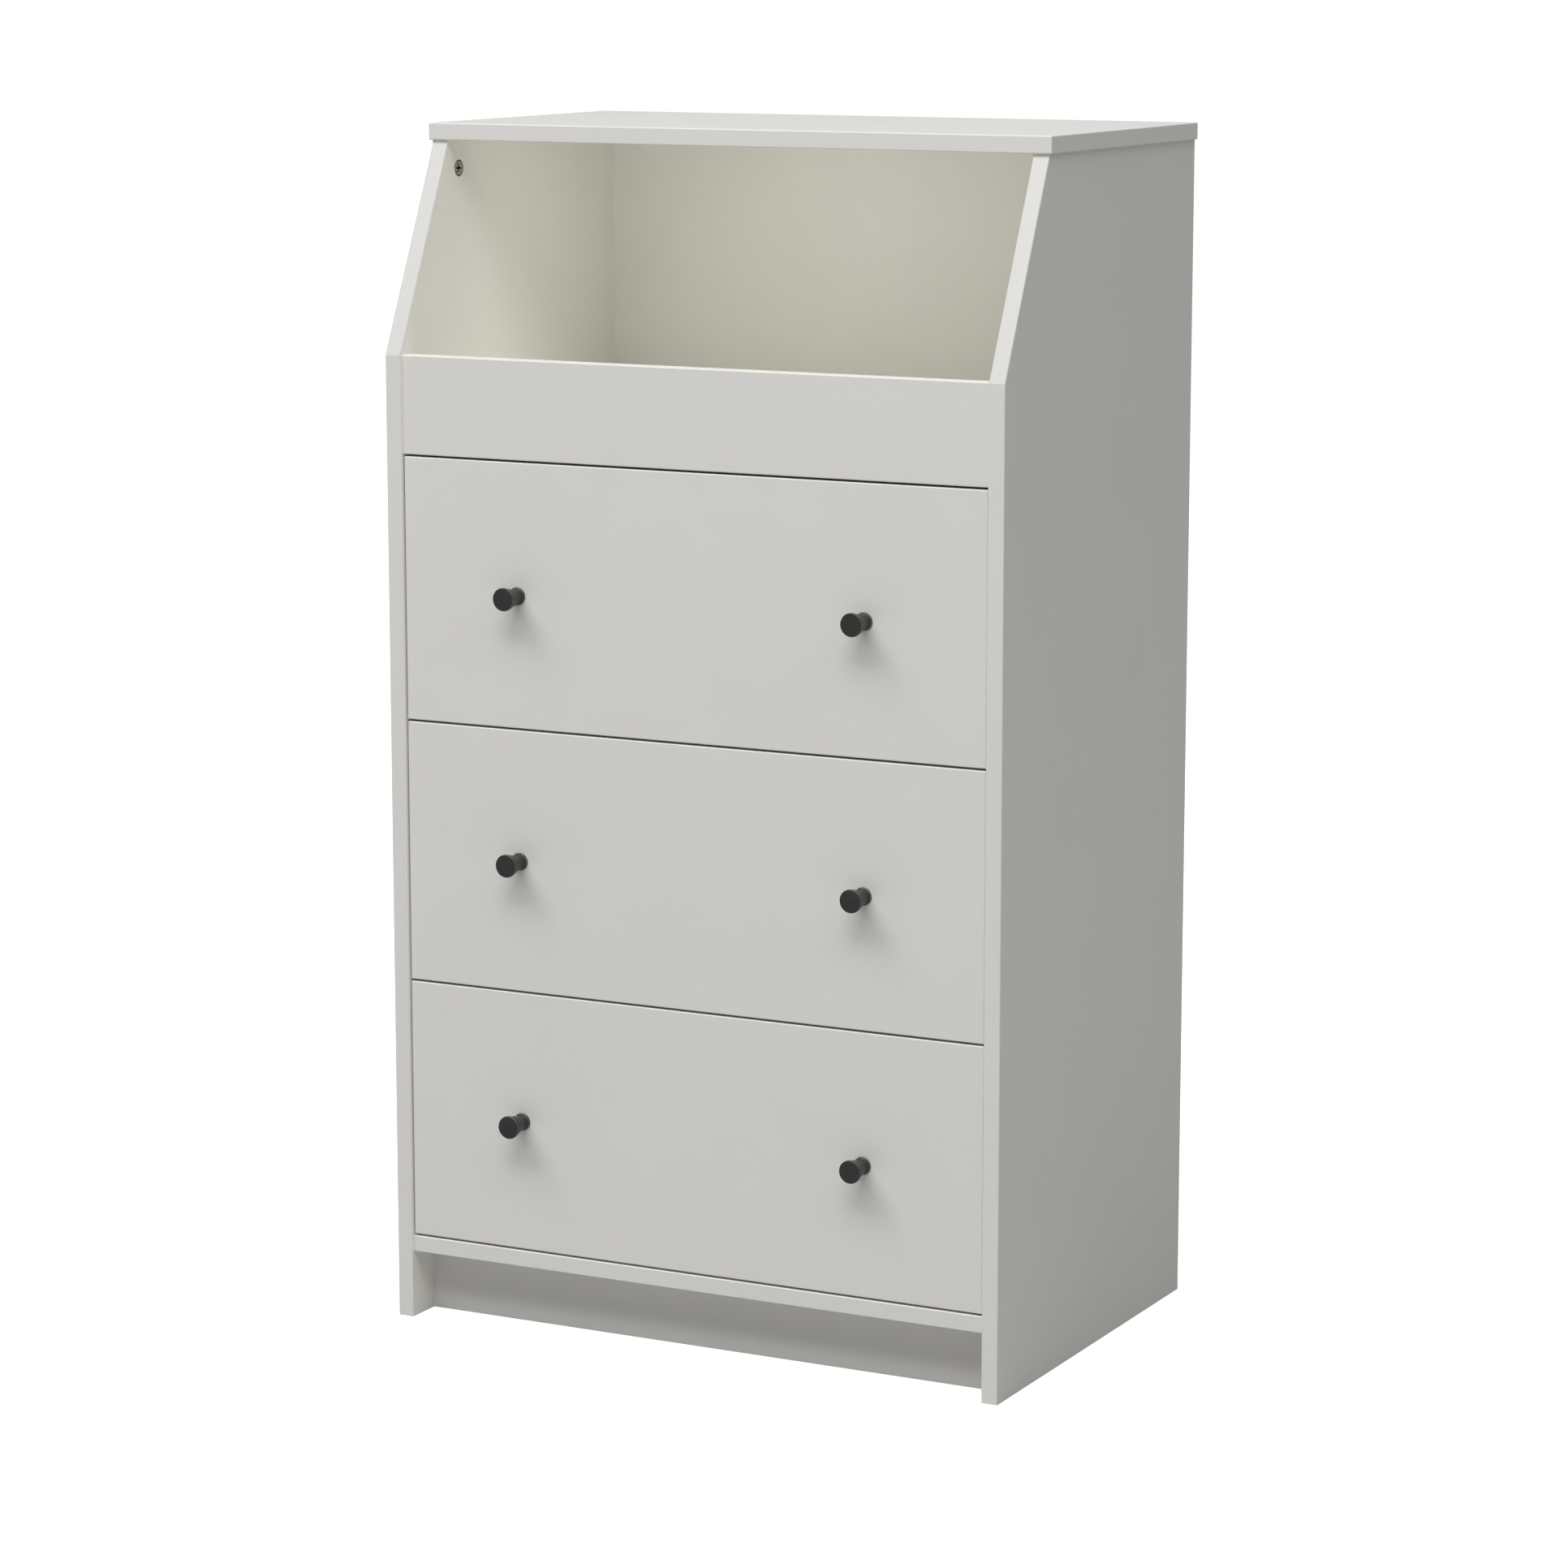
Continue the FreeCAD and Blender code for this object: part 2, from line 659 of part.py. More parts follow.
board("back_panel",
      (f"{INNER_WIDTH} + 2 * (groove_depth - groove_play)", "hardboard",
       "side_height - plinth_height + groove_depth - groove_play"),
      (f"{LEFT_INNER} - groove_depth + groove_play", BACK_Y, "plinth_height"),
      tools=nail_holes + wall_holes)


# ------------------------------------------------------------- fittings
def cam_lock(radius, depth, half_board, pocket):
    """A cam lock, its mouth at the origin facing +Z and its hook opening to +X."""
    disc = rod(f"{radius} - fit_play / 2", f"{depth} - fit_play", ("0", "0", f"-({depth} - fit_play)"), Z)
    slot = "cam_slot"
    reach = f"{radius} * cam_slot_reach"
    cross = [
        block((f"2 * {reach}", slot, "cam_slot_depth"), (f"-{reach}", f"-{slot} / 2", "-cam_slot_depth")),
        block((slot, f"2 * {reach}", "cam_slot_depth"), (f"-{slot} / 2", f"-{reach}", "-cam_slot_depth")),
    ]
    hook = rod(pocket, radius, ("bolt_head_start - cam_hook_gap", "0", f"-({half_board})"), X)
    return cut(disc, cross + [hook])


def cam_bolt(head, shank, collar, thread):
    """The bolt a cam lock draws: head end at the origin, screwed into its board along +Z."""
    return turned([
        ("0", "bolt_head_start"), (head, "bolt_head_start"),
        (head, "bolt_head_start + bolt_head_height"), (shank, "bolt_head_start + bolt_head_height"),
        (shank, "cam_distance - bolt_collar"), (collar, "cam_distance - bolt_collar"),
        (collar, "cam_distance"), (thread, "cam_distance"),
        (thread, "cam_distance + bolt_grip - fit_play"), ("0", "cam_distance + bolt_grip - fit_play"),
    ])


carcass_cam = cam_lock("cam_radius", "cam_depth", "board_thickness / 2", "dowel_radius - fit_play")
carcass_bolt = cam_bolt("bolt_head_radius", "bolt_shank_radius", "dowel_radius - 2 * fit_play",
                        "bolt_radius - fit_play")
box_cam = cam_lock("box_cam_radius", "box_cam_depth", "box_board / 2", "box_channel_radius - fit_play")
box_bolt = cam_bolt("box_bolt_head_radius", "box_bolt_shank_radius", "box_channel_radius - 2 * fit_play",
                    "box_bolt_radius - fit_play")
dowel = rod("dowel_radius - fit_play", "dowel_length", ("0", "0", "0"), Z)
nail = screw("nail_length", "nail_radius - fit_play / 2", "nail_head_radius", "nail_head")
short_screw = screw("screw_length", "screw_radius - fit_play / 2")
shoe_screw = screw("shoe_screw", "screw_radius - fit_play / 2")
corner_screw = screw("long_screw", "screw_radius - fit_play / 2")
knob_screw = screw("board_thickness + knob_screw_depth", "knob_screw_radius",
                   "2 * knob_screw_radius", "knob_screw_head")

copies("cam_locks", (carcass_cam, cams["carcass"]))
copies("cam_bolts", (carcass_bolt, bolts["carcass"]))
copies("wooden_dowels", (dowel, dowels))
copies("back_panel_nails", (nail, nails))
copies("runner_screws", (short_screw, runner_screws))
group("wall_brackets", bracket_bodies)
copies("wall_bracket_screws", (short_screw, bracket_screws))

# -------------------------------------------------------------- drawers
KNOB_OUTLINE = [
    ("0", "0"),
    ("knob_foot_radius", "0"),
    ("knob_foot_radius", "knob_foot_height"),
    ("knob_ring_radius", "knob_foot_height"),
    ("knob_ring_radius", "knob_foot_height + knob_ring_height"),
    ("knob_neck_radius", "knob_foot_height + knob_ring_height"),
    ("knob_face_radius", "knob_reach - knob_rim"),
    ("knob_face_radius", "knob_reach - knob_bevel"),
    ("knob_face_radius - knob_bevel", "knob_reach"),
    ("0", "knob_reach"),
]
KNOB_NECK = KNOB_OUTLINE.index(("knob_neck_radius", "knob_foot_height + knob_ring_height"))
BOX_HALF = f"{INNER} - runner_gap"
BOX_INNER = f"{BOX_HALF} - box_board"
BASE_HALF = f"{BOX_INNER} + groove_depth - groove_play"


def fit_knobs(name, front_z):
    """Two knobs on a drawer front, each drilled for the screw that comes through from behind."""
    screw_places = []
    for side, sign in SIDES.items():
        foot = (f"{sign} * knob_spread", "front_y + inset", f"{front_z} + front_height / 2")
        knob = turned(KNOB_OUTLINE, {KNOB_NECK: "knob_flare"})
        place(knob, foot, FreeCAD.Rotation(X, 90))
        bore = rod("knob_screw_radius + knob_bore_play", "knob_screw_depth + knob_bore_spare", foot, -Y)
        node(cut(knob, [bore]), f"{name}_knob_{side}")
        drill(f"{name}_front", "knob_screw_radius + knob_hole_play", "board_thickness", foot, Y)
        screw_places.append(towards(vector(shifted(foot, Y, "board_thickness")), -Y, X))
    copies(f"{name}_knob_screws", (knob_screw, screw_places))


for drawer in DRAWERS:
    name = f"{drawer}_drawer"
    front_z = FRONT_Z[drawer]
    box_z = BOX_Z[drawer]
    base_z = f"{box_z} + base_lift"
    fit_knobs(name, front_z)
    groove(f"{name}_front", (f"2 * ({BOX_INNER} + groove_depth)", "groove_depth", "groove_width"),
           (f"-({BOX_INNER} + groove_depth)", f"{RAIL_BACK_Y} - groove_depth", base_z))
    board(f"{name}_front",
          (f"{INNER_WIDTH} - 2 * front_side_gap", "board_thickness", "front_height"),
          (f"{LEFT_INNER} + front_side_gap", "front_y + inset", front_z), "all")
    for side, sign in SIDES.items():
        start_x = BOX_INNER if sign > 0 else f"-({BOX_HALF})"
        board(f"{name}_side_{side}", ("box_board", "box_length", "box_height"),
              (start_x, RAIL_BACK_Y, box_z))
    board(f"{name}_back",
          (f"2 * ({BOX_INNER})", "box_board", "box_height - base_lift - groove_width"),
          (f"-({BOX_INNER})", f"{RAIL_BACK_Y} + box_length - box_board", f"{base_z} + groove_width"))
    board(f"{name}_base",
          (f"2 * ({BASE_HALF})", "box_length + groove_depth - groove_play", "hardboard"),
          (f"-({BASE_HALF})", f"{RAIL_BACK_Y} - groove_depth + groove_play",
           f"{base_z} + (groove_width - hardboard) / 2"))

    copies(f"{name}_cam_locks", (box_cam, cams[drawer]))
    copies(f"{name}_cam_bolts", (box_bolt, bolts[drawer]))
    copies(f"{name}_screws", (shoe_screw, shoe_screws[drawer]), (corner_screw, corner_screws[drawer]))
    group(f"{drawer}_cabinet_runners", cabinet_rails[drawer])
    group(f"{name}_runners", drawer_rails[drawer])
    group(f"{drawer}_front_rollers", front_rollers[drawer])
    group(f"{drawer}_rear_rollers", rear_rollers[drawer])

# ---------------------------------------------------------- write files
doc.recompute()
for thing in doc.Objects:
    if "Invalid" in thing.State or "Error" in thing.State:
        raise RuntimeError(f"{thing.Name} ({thing.Label}) failed: {thing.State}")
for piece in NODES:
    if piece.Shape.isNull() or not piece.Shape.isValid():
        raise RuntimeError(f"{piece.Label} has no valid shape")
os.makedirs("parts", exist_ok=True)
for piece in NODES:
    piece.Shape.exportStep(f"parts/{piece.Label}.step")
print(len(NODES), "pieces written")
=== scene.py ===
import json
import math

import bmesh
import bpy
import numpy as np
from mathutils import Matrix, Vector

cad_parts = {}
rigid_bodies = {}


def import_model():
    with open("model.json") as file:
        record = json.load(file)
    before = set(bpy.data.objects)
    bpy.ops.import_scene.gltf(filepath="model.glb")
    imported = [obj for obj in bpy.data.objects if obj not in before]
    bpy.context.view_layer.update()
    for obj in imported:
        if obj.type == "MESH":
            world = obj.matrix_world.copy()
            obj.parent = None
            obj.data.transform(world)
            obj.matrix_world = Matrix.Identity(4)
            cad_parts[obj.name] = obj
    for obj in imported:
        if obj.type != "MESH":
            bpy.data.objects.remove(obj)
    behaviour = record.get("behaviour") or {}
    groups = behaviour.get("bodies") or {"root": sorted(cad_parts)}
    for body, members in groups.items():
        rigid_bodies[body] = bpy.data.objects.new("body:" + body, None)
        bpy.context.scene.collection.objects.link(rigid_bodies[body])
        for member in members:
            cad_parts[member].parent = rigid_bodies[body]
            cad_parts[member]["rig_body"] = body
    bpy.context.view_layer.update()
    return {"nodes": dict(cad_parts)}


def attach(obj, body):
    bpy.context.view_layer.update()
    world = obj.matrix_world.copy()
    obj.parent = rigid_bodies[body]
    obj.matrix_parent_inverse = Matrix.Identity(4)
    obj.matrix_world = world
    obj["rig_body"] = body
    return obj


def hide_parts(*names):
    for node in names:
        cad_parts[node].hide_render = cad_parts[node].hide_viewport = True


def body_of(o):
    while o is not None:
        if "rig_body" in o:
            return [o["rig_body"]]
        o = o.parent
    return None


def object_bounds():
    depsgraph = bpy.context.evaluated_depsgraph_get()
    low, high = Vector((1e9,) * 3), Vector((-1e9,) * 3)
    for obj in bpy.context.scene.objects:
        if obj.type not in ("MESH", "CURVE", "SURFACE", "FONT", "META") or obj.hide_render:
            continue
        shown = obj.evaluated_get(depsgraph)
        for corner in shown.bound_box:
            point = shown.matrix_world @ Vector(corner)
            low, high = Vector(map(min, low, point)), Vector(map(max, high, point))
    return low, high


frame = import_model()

# Looks for a white flat-pack chest of drawers, in metres, in the frame of its CAD model.

MM = 0.001
NODES = frame["nodes"]
scene = bpy.context.scene
X, Y, Z = Vector((1, 0, 0)), Vector((0, 1, 0)), Vector((0, 0, 1))

# ------------------------------------------------------- camera and stage
AZIMUTH, ELEVATION = math.radians(27.20), math.radians(10.14)
DISTANCE = 4.312
AIM_OFF_CENTRE = Vector((0.002, -0.009, -0.050))
LENS_MM = 110.0

lowest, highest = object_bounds()
centre = (lowest + highest) / 2
aim = centre + AIM_OFF_CENTRE
back_along = Vector((math.sin(AZIMUTH) * math.cos(ELEVATION),
                     -math.cos(AZIMUTH) * math.cos(ELEVATION),
                     math.sin(ELEVATION)))
camera = bpy.data.objects.new("camera", bpy.data.cameras.new("camera"))
scene.collection.objects.link(camera)
camera.location = aim + back_along * DISTANCE
camera.rotation_euler = (math.pi / 2 - ELEVATION, 0, AZIMUTH)
camera.data.lens = LENS_MM
camera.data.sensor_width = 36
camera.data.clip_end = 200
scene.camera = camera
scene.view_settings.view_transform = "Standard"


def soft_box(name, azimuth, elevation, distance, size, watts, target):
    """A rectangular studio light facing a point, from a compass direction round it."""
    light = bpy.data.lights.new(name, "AREA")
    light.shape = "RECTANGLE"
    light.size, light.size_y = size
    light.energy = watts
    lamp = bpy.data.objects.new(name, light)
    scene.collection.objects.link(lamp)
    turn, lift = math.radians(azimuth), math.radians(elevation)
    away = Vector((math.sin(turn) * math.cos(lift), -math.cos(turn) * math.cos(lift), math.sin(lift)))
    lamp.location = Vector(target) + away * distance
    lamp.rotation_euler = (-away).to_track_quat("-Z", "Y").to_euler()
    lamp.visible_camera = False


# a wide strip high in front, weaker lights from the right and from behind, and a very weak one just
# inside the cubby
soft_box("key", azimuth=-10, elevation=59, distance=8, size=(9, 3.4), watts=604, target=centre)
soft_box("right", azimuth=70, elevation=45, distance=7, size=(4, 4), watts=72, target=centre)
soft_box("rear", azimuth=180, elevation=70, distance=6, size=(4, 4), watts=45, target=Z)
soft_box("cubby_fill", azimuth=0, elevation=0, distance=0.27, size=(0.26, 0.13), watts=0.112,
         target=(-0.05, 0.175, 0.980))


def room(name, strength, backdrop):
    """An even white room, with a brighter backdrop for the camera."""
    world = bpy.data.worlds.new(name)
    world.use_nodes = True
    nodes, links = world.node_tree.nodes, world.node_tree.links
    fill, behind = nodes["Background"], nodes.new("ShaderNodeBackground")
    for background, brightness in ((fill, strength), (behind, backdrop)):
        background.inputs["Color"].default_value = (1, 1, 1, 1)
        background.inputs["Strength"].default_value = brightness
    path = nodes.new("ShaderNodeLightPath")
    mix = nodes.new("ShaderNodeMixShader")
    links.new(path.outputs["Is Camera Ray"], mix.inputs[0])
    links.new(fill.outputs[0], mix.inputs[1])
    links.new(behind.outputs[0], mix.inputs[2])
    links.new(mix.outputs[0], nodes["World Output"].inputs["Surface"])
    return world


scene.world = room("studio_room", strength=0.15, backdrop=1.0)


# -------------------------------------------------------------- materials
class Paint:
    """A node material being put together."""

    def __init__(self, name):
        self.material = bpy.data.materials.new(name)
        self.material.use_nodes = True
        self.nodes = self.material.node_tree.nodes
        self.links = self.material.node_tree.links
        self.shader = self.nodes["Principled BSDF"]
        self.place = self.nodes.new("ShaderNodeTexCoord")

    def join(self, source, target):
        self.links.new(source, target)

    def texture(self, kind, size, stretch):
        """A texture node whose features are about size metres across."""
        scaled = self.nodes.new("ShaderNodeMapping")
        scaled.inputs["Scale"].default_value = stretch
        self.join(self.place.outputs["Object"], scaled.inputs["Vector"])
        texture = self.nodes.new(kind)
        texture.inputs["Scale"].default_value = 1 / size
        self.join(scaled.outputs[0], texture.inputs["Vector"])
        return texture

    def noise(self, size, detail, stretch=(1, 1, 1), rough=0.5):
        """Cloudy noise."""
        texture = self.texture("ShaderNodeTexNoise", size, stretch)
        texture.inputs["Detail"].default_value = detail
        texture.inputs["Roughness"].default_value = rough
        return texture.outputs["Fac"]

    def cells(self, size, stretch):
        """Random flat patches, as a colour."""
        return self.texture("ShaderNodeTexVoronoi", size, stretch).outputs["Color"]

    def ramp(self, source, *stops):
        """Colours along a value, as (position, colour) pairs."""
        ramp = self.nodes.new("ShaderNodeValToRGB")
        elements = ramp.color_ramp.elements
        while len(elements) < len(stops):
            elements.new(0.5)
        for element, (position, colour) in zip(elements, stops):
            element.position = position
            element.color = (*colour, 1)
        self.join(source, ramp.inputs["Fac"])
        return ramp.outputs["Color"]

    def blend(self, factor, first, second):
        """One colour turning into another."""
        node = self.nodes.new("ShaderNodeMix")
        node.data_type = "RGBA"
        for source, socket in zip((factor, first, second), (node.inputs[i] for i in (0, 6, 7))):
            if isinstance(source, (int, float)):
                socket.default_value = source
            elif isinstance(source, tuple):
                socket.default_value = (*source, 1)
            else:
                self.join(source, socket)
        return node.outputs[2]

    def maths(self, kind, first, second):
        """One sum of two values or sockets."""
        node = self.nodes.new("ShaderNodeMath")
        node.operation = kind
        for source, socket in zip((first, second), node.inputs):
            if isinstance(source, (int, float)):
                socket.default_value = source
            else:
                self.join(source, socket)
        return node.outputs[0]

    def facing(self, axis, sign=1, limit=0.7):
        """1 where the surface faces along a signed axis of the object."""
        split = self.nodes.new("ShaderNodeSeparateXYZ")
        self.join(self.place.outputs["Normal"], split.inputs[0])
        return self.maths("GREATER_THAN", self.maths("MULTIPLY", split.outputs[axis], sign), limit)

    def set(self, **values):
        """Constant values on the shader's own sockets."""
        for socket, value in values.items():
            self.shader.inputs[socket.replace("_", " ")].default_value = value

    def colour(self, source):
        self.join(source, self.shader.inputs["Base Color"])

    def roughness(self, source, low, high):
        """A roughness that wanders between two values."""
        span = self.nodes.new("ShaderNodeMapRange")
        span.inputs["To Min"].default_value = low
        span.inputs["To Max"].default_value = high
        self.join(source, span.inputs["Value"])
        self.join(span.outputs[0], self.shader.inputs["Roughness"])

    def bump(self, source, height, strength):
        """Relief on top of what is already there."""
        bump = self.nodes.new("ShaderNodeBump")
        bump.inputs["Strength"].default_value = strength
        bump.inputs["Distance"].default_value = height
        self.join(source, bump.inputs["Height"])
        before = self.shader.inputs["Normal"]
        if before.is_linked:
            self.join(before.links[0].from_socket, bump.inputs["Normal"])
        self.join(bump.outputs[0], before)


ACROSS, DEEP, UP = 0, 1, 2
# The second white is lighter and creamier: on foil it is painted light, standing in for light bounced about
# inside the chest; on hardboard it is partly the lacquer's own cream and partly that painted light.
WHITE, CREAM_AND_PAINTED_BOUNCE, WHITE_GRAIN = (0.842, 0.832, 0.797), (0.930, 0.918, 0.862), (0.70, 0.69, 0.66)
# A greyer white painted as shade on the side panels' leaning edges, which face up into the high front
# light.
PAINTED_LEAN_SHADE = (0.716, 0.710, 0.686)
CHIP_DARK, CHIP_LIGHT, CHIP_PALE = (0.30, 0.20, 0.115), (0.60, 0.46, 0.30), (0.70, 0.57, 0.40)
FIBRE_LIGHT, FIBRE_DARK = (0.46, 0.30, 0.17), (0.26, 0.16, 0.085)
NYLON_LIGHT, NYLON_DARK = (0.80, 0.79, 0.74), (0.72, 0.71, 0.66)
BEECH_DARK, BEECH_LIGHT = (0.52, 0.35, 0.20), (0.72, 0.54, 0.35)
# The second black is lighter: a painted highlight on the knobs' rounded edges.
KNOB_BLACK, KNOB_PAINTED_HIGHLIGHT, RAIL_WHITE = (0.043, 0.043, 0.042), (0.085, 0.085, 0.082), (0.74, 0.74, 0.72)
FLOOR_GREY, FLOOR_GLOW = 0.46, 0.94


def dimmed(colour, factor):
    return tuple(c * factor for c in colour)


def chips(paint):
    """Raw particle board: flat chips of wood, some dark, in glue."""
    coarse = paint.cells(size=2.2 * MM, stretch=(1, 1, 1.6))
    fine = paint.noise(size=0.7 * MM, detail=3)
    shade = paint.ramp(coarse, (0.15, CHIP_DARK), (0.5, CHIP_LIGHT), (0.95, CHIP_PALE))
    return paint.blend(paint.maths("MULTIPLY", fine, 0.5), shade, CHIP_DARK)


def foil(name, raw=(), painted_bounce=(), lean_shaded=False):
    """White melamine foil on particle board. raw names the faces, as (axis, sign), that are bare board;
    the next list names the faces that are painted a lighter, creamier white, as painted light for the
    light bounced about inside. With the last argument set, the leaning edge is painted a greyer white,
    as painted shade."""
    paint = Paint(name)
    cloud = paint.noise(size=90 * MM, detail=3)
    grain = paint.noise(size=0.9 * MM, detail=3, stretch=(1, 1, 0.35))
    white = paint.ramp(cloud, (0.3, WHITE), (0.7, dimmed(WHITE, 0.985)))
    white = paint.blend(paint.maths("MULTIPLY", grain, 0.04), white, WHITE_GRAIN)
    # Painted light: faces turned inwards get the lighter, creamier white.
    for axis, sign in painted_bounce:
        white = paint.blend(paint.facing(axis, sign), white, CREAM_AND_PAINTED_BOUNCE)
    # Painted shade: the leaning edge, facing front and up into the light, gets a greyer white.
    if lean_shaded:
        leaning = paint.maths("MULTIPLY", paint.facing(DEEP, -1, limit=0.5), paint.facing(UP, 1, limit=0.2))
        white = paint.blend(leaning, white, PAINTED_LEAN_SHADE)
    for axis, sign in raw:
        white = paint.blend(paint.facing(axis, sign), white, chips(paint))
    paint.colour(white)
    paint.roughness(grain, low=0.40, high=0.50)
    paint.bump(grain, height=0.02 * MM, strength=0.35)
    paint.bump(paint.noise(size=6 * MM, detail=2), height=0.03 * MM, strength=0.25)
    paint.set(Specular_IOR_Level=0.45)
    return paint.material


def hardboard(name, brown_axis, brown_sign):
    """Lacquered hardboard, white on one face and bare pressed fibre on the other and at its edges."""
    paint = Paint(name)
    cloud = paint.noise(size=60 * MM, detail=3)
    fibres = paint.noise(size=1.6 * MM, detail=5, rough=0.7)
    mesh_marks = paint.noise(size=0.8 * MM, detail=1)
    # The white face is partly the lacquer's own cream and partly painted light, lighter than the foil for
    # the light bounced inside.
    white = paint.ramp(cloud, (0.3, CREAM_AND_PAINTED_BOUNCE), (0.7, dimmed(CREAM_AND_PAINTED_BOUNCE, 0.98)))
    brown = paint.ramp(fibres, (0.25, FIBRE_DARK), (0.75, FIBRE_LIGHT))
    bare = paint.facing(brown_axis, brown_sign, limit=-0.5)
    paint.colour(paint.blend(bare, white, brown))
    paint.roughness(bare, low=0.42, high=0.78)
    paint.bump(paint.maths("MULTIPLY", fibres, bare), height=0.25 * MM, strength=0.5)
    paint.bump(mesh_marks, height=0.02 * MM, strength=0.3)
    return paint.material


def powder_coat(name, colour, rough, size=0.5 * MM, height=0.03 * MM, shine=0.5):
    """Powder coat: one colour with a fine leathery skin, whose bumps are size across and height high."""
    paint = Paint(name)
    skin = paint.noise(size, detail=2)
    cloud = paint.noise(size=9 * MM, detail=2)
    lighter = tuple(c * 1.05 + 0.003 for c in colour)
    paint.colour(paint.ramp(cloud, (0.3, colour), (0.7, lighter)))
    paint.roughness(skin, low=rough - 0.06, high=rough + 0.08)
    paint.bump(skin, height, strength=0.5)
    paint.set(Specular_IOR_Level=shine)
    return paint.material


def bare_metal(name, colour, rough, size=1.2 * MM):
    """Cast, plated or galvanised metal with a mottled sheen, in spots that are size across."""
    paint = Paint(name)
    mottle = paint.noise(size, detail=4)
    paint.colour(paint.ramp(mottle, (0.3, dimmed(colour, 0.72)), (0.7, colour)))
    paint.roughness(mottle, low=rough - 0.1, high=rough + 0.12)
    paint.bump(mottle, height=0.03 * MM, strength=0.4)
    paint.set(Metallic=1.0)
    return paint.material


def nylon(name):
    """Milky moulded nylon."""
    paint = Paint(name)
    cloud = paint.noise(size=4 * MM, detail=2)
    paint.colour(paint.ramp(cloud, (0.3, NYLON_LIGHT), (0.7, NYLON_DARK)))
    paint.roughness(cloud, low=0.36, high=0.5)
    paint.bump(paint.noise(size=0.4 * MM, detail=1), height=0.01 * MM, strength=0.3)
    paint.set(Subsurface_Weight=0.15, Subsurface_Scale=0.002)
    return paint.material


def beech(name):
    """Plain turned beech."""
    paint = Paint(name)
    grain = paint.noise(size=1.5 * MM, detail=4, stretch=(1, 1, 0.2))
    paint.colour(paint.ramp(grain, (0.3, BEECH_DARK), (0.7, BEECH_LIGHT)))
    paint.roughness(grain, low=0.6, high=0.75)
    paint.bump(grain, height=0.05 * MM, strength=0.4)
    return paint.material


def studio_floor(name):
    """A plain floor that looks almost white, but throws back only as much light as a grey one."""
    paint = Paint(name)
    cloud = paint.noise(size=1.5, detail=2)
    grey = (FLOOR_GREY,) * 3
    paint.colour(paint.ramp(cloud, (0.3, grey), (0.7, dimmed(grey, 0.98))))
    paint.roughness(cloud, low=0.85, high=0.95)
    path = paint.nodes.new("ShaderNodeLightPath")
    glow = paint.maths("MULTIPLY", path.outputs["Is Camera Ray"], FLOOR_GLOW)
    paint.join(glow, paint.shader.inputs["Emission Strength"])
    paint.set(Emission_Color=(1, 1, 1, 1), Specular_IOR_Level=0.1)
    return paint.material


MATERIALS = {
    # Inward faces are painted lighter as bounced light; the side panels' leaning edges are painted greyer
    # as shade.
    "panel_left": foil("foil_side_left", raw=[(DEEP, 1), (UP, -1)], painted_bounce=[(ACROSS, 1)], lean_shaded=True),
    "panel_right": foil("foil_side_right", raw=[(DEEP, 1), (UP, -1)], painted_bounce=[(ACROSS, -1)], lean_shaded=True),
    "top": foil("foil_top", raw=[(DEEP, 1)], painted_bounce=[(UP, -1)]),
    "floor_board": foil("foil_floor_board", raw=[(DEEP, 1), (ACROSS, 1), (ACROSS, -1)], painted_bounce=[(UP, 1)]),
    "rail": foil("foil_rail", raw=[(ACROSS, 1), (ACROSS, -1)], painted_bounce=[(DEEP, 1)]),
    "drawer_front": foil("foil_drawer_front"),
    "drawer_side": foil("foil_drawer_side", raw=[(DEEP, -1), (DEEP, 1), (UP, -1)]),
    "drawer_back": foil("foil_drawer_back", raw=[(ACROSS, -1), (ACROSS, 1), (UP, -1)]),
    "back": hardboard("hardboard_back", brown_axis=DEEP, brown_sign=1),
    "base": hardboard("hardboard_base", brown_axis=UP, brown_sign=-1),
    "knob": powder_coat("knob_powder_coat", KNOB_BLACK, rough=0.36, height=0.01 * MM, shine=0.10),
    # Painted highlight: a lighter black, smoother and shinier, on the knobs' rounded edges.
    "knob_painted_highlight": powder_coat("knob_rim_painted_highlight", KNOB_PAINTED_HIGHLIGHT, rough=0.20, height=0.0, shine=0.9),
    "zinc": bare_metal("cast_zinc", (0.52, 0.52, 0.49), rough=0.50),
    # Painted shade: dark zinc in the cams' recesses and on their rims, for the gap round them.
    "zinc_painted_shade": bare_metal("cast_zinc_painted_shade", (0.07, 0.07, 0.065), rough=0.6),
    "plated": bare_metal("plated_steel", (0.62, 0.61, 0.57), rough=0.32, size=0.8 * MM),
    # Painted shade: darker steel in the screws' cross recesses.
    "plated_painted_shade": bare_metal("plated_steel_painted_shade", (0.22, 0.21, 0.20), rough=0.5, size=0.8 * MM),
    "galvanised": bare_metal("galvanised_steel", (0.60, 0.60, 0.59), rough=0.40, size=5 * MM),
    "rail_coat": powder_coat("runner_coat", RAIL_WHITE, rough=0.38, size=1.5 * MM, height=0.004 * MM),
    "nylon": nylon("roller_nylon"),
    "beech": beech("dowel_beech"),
}
# Second materials: painted highlight on knob edges, painted shade in cam and screw recesses.
SECOND_MATERIAL = {"knob": "knob_painted_highlight", "zinc": "zinc_painted_shade", "plated": "plated_painted_shade"}

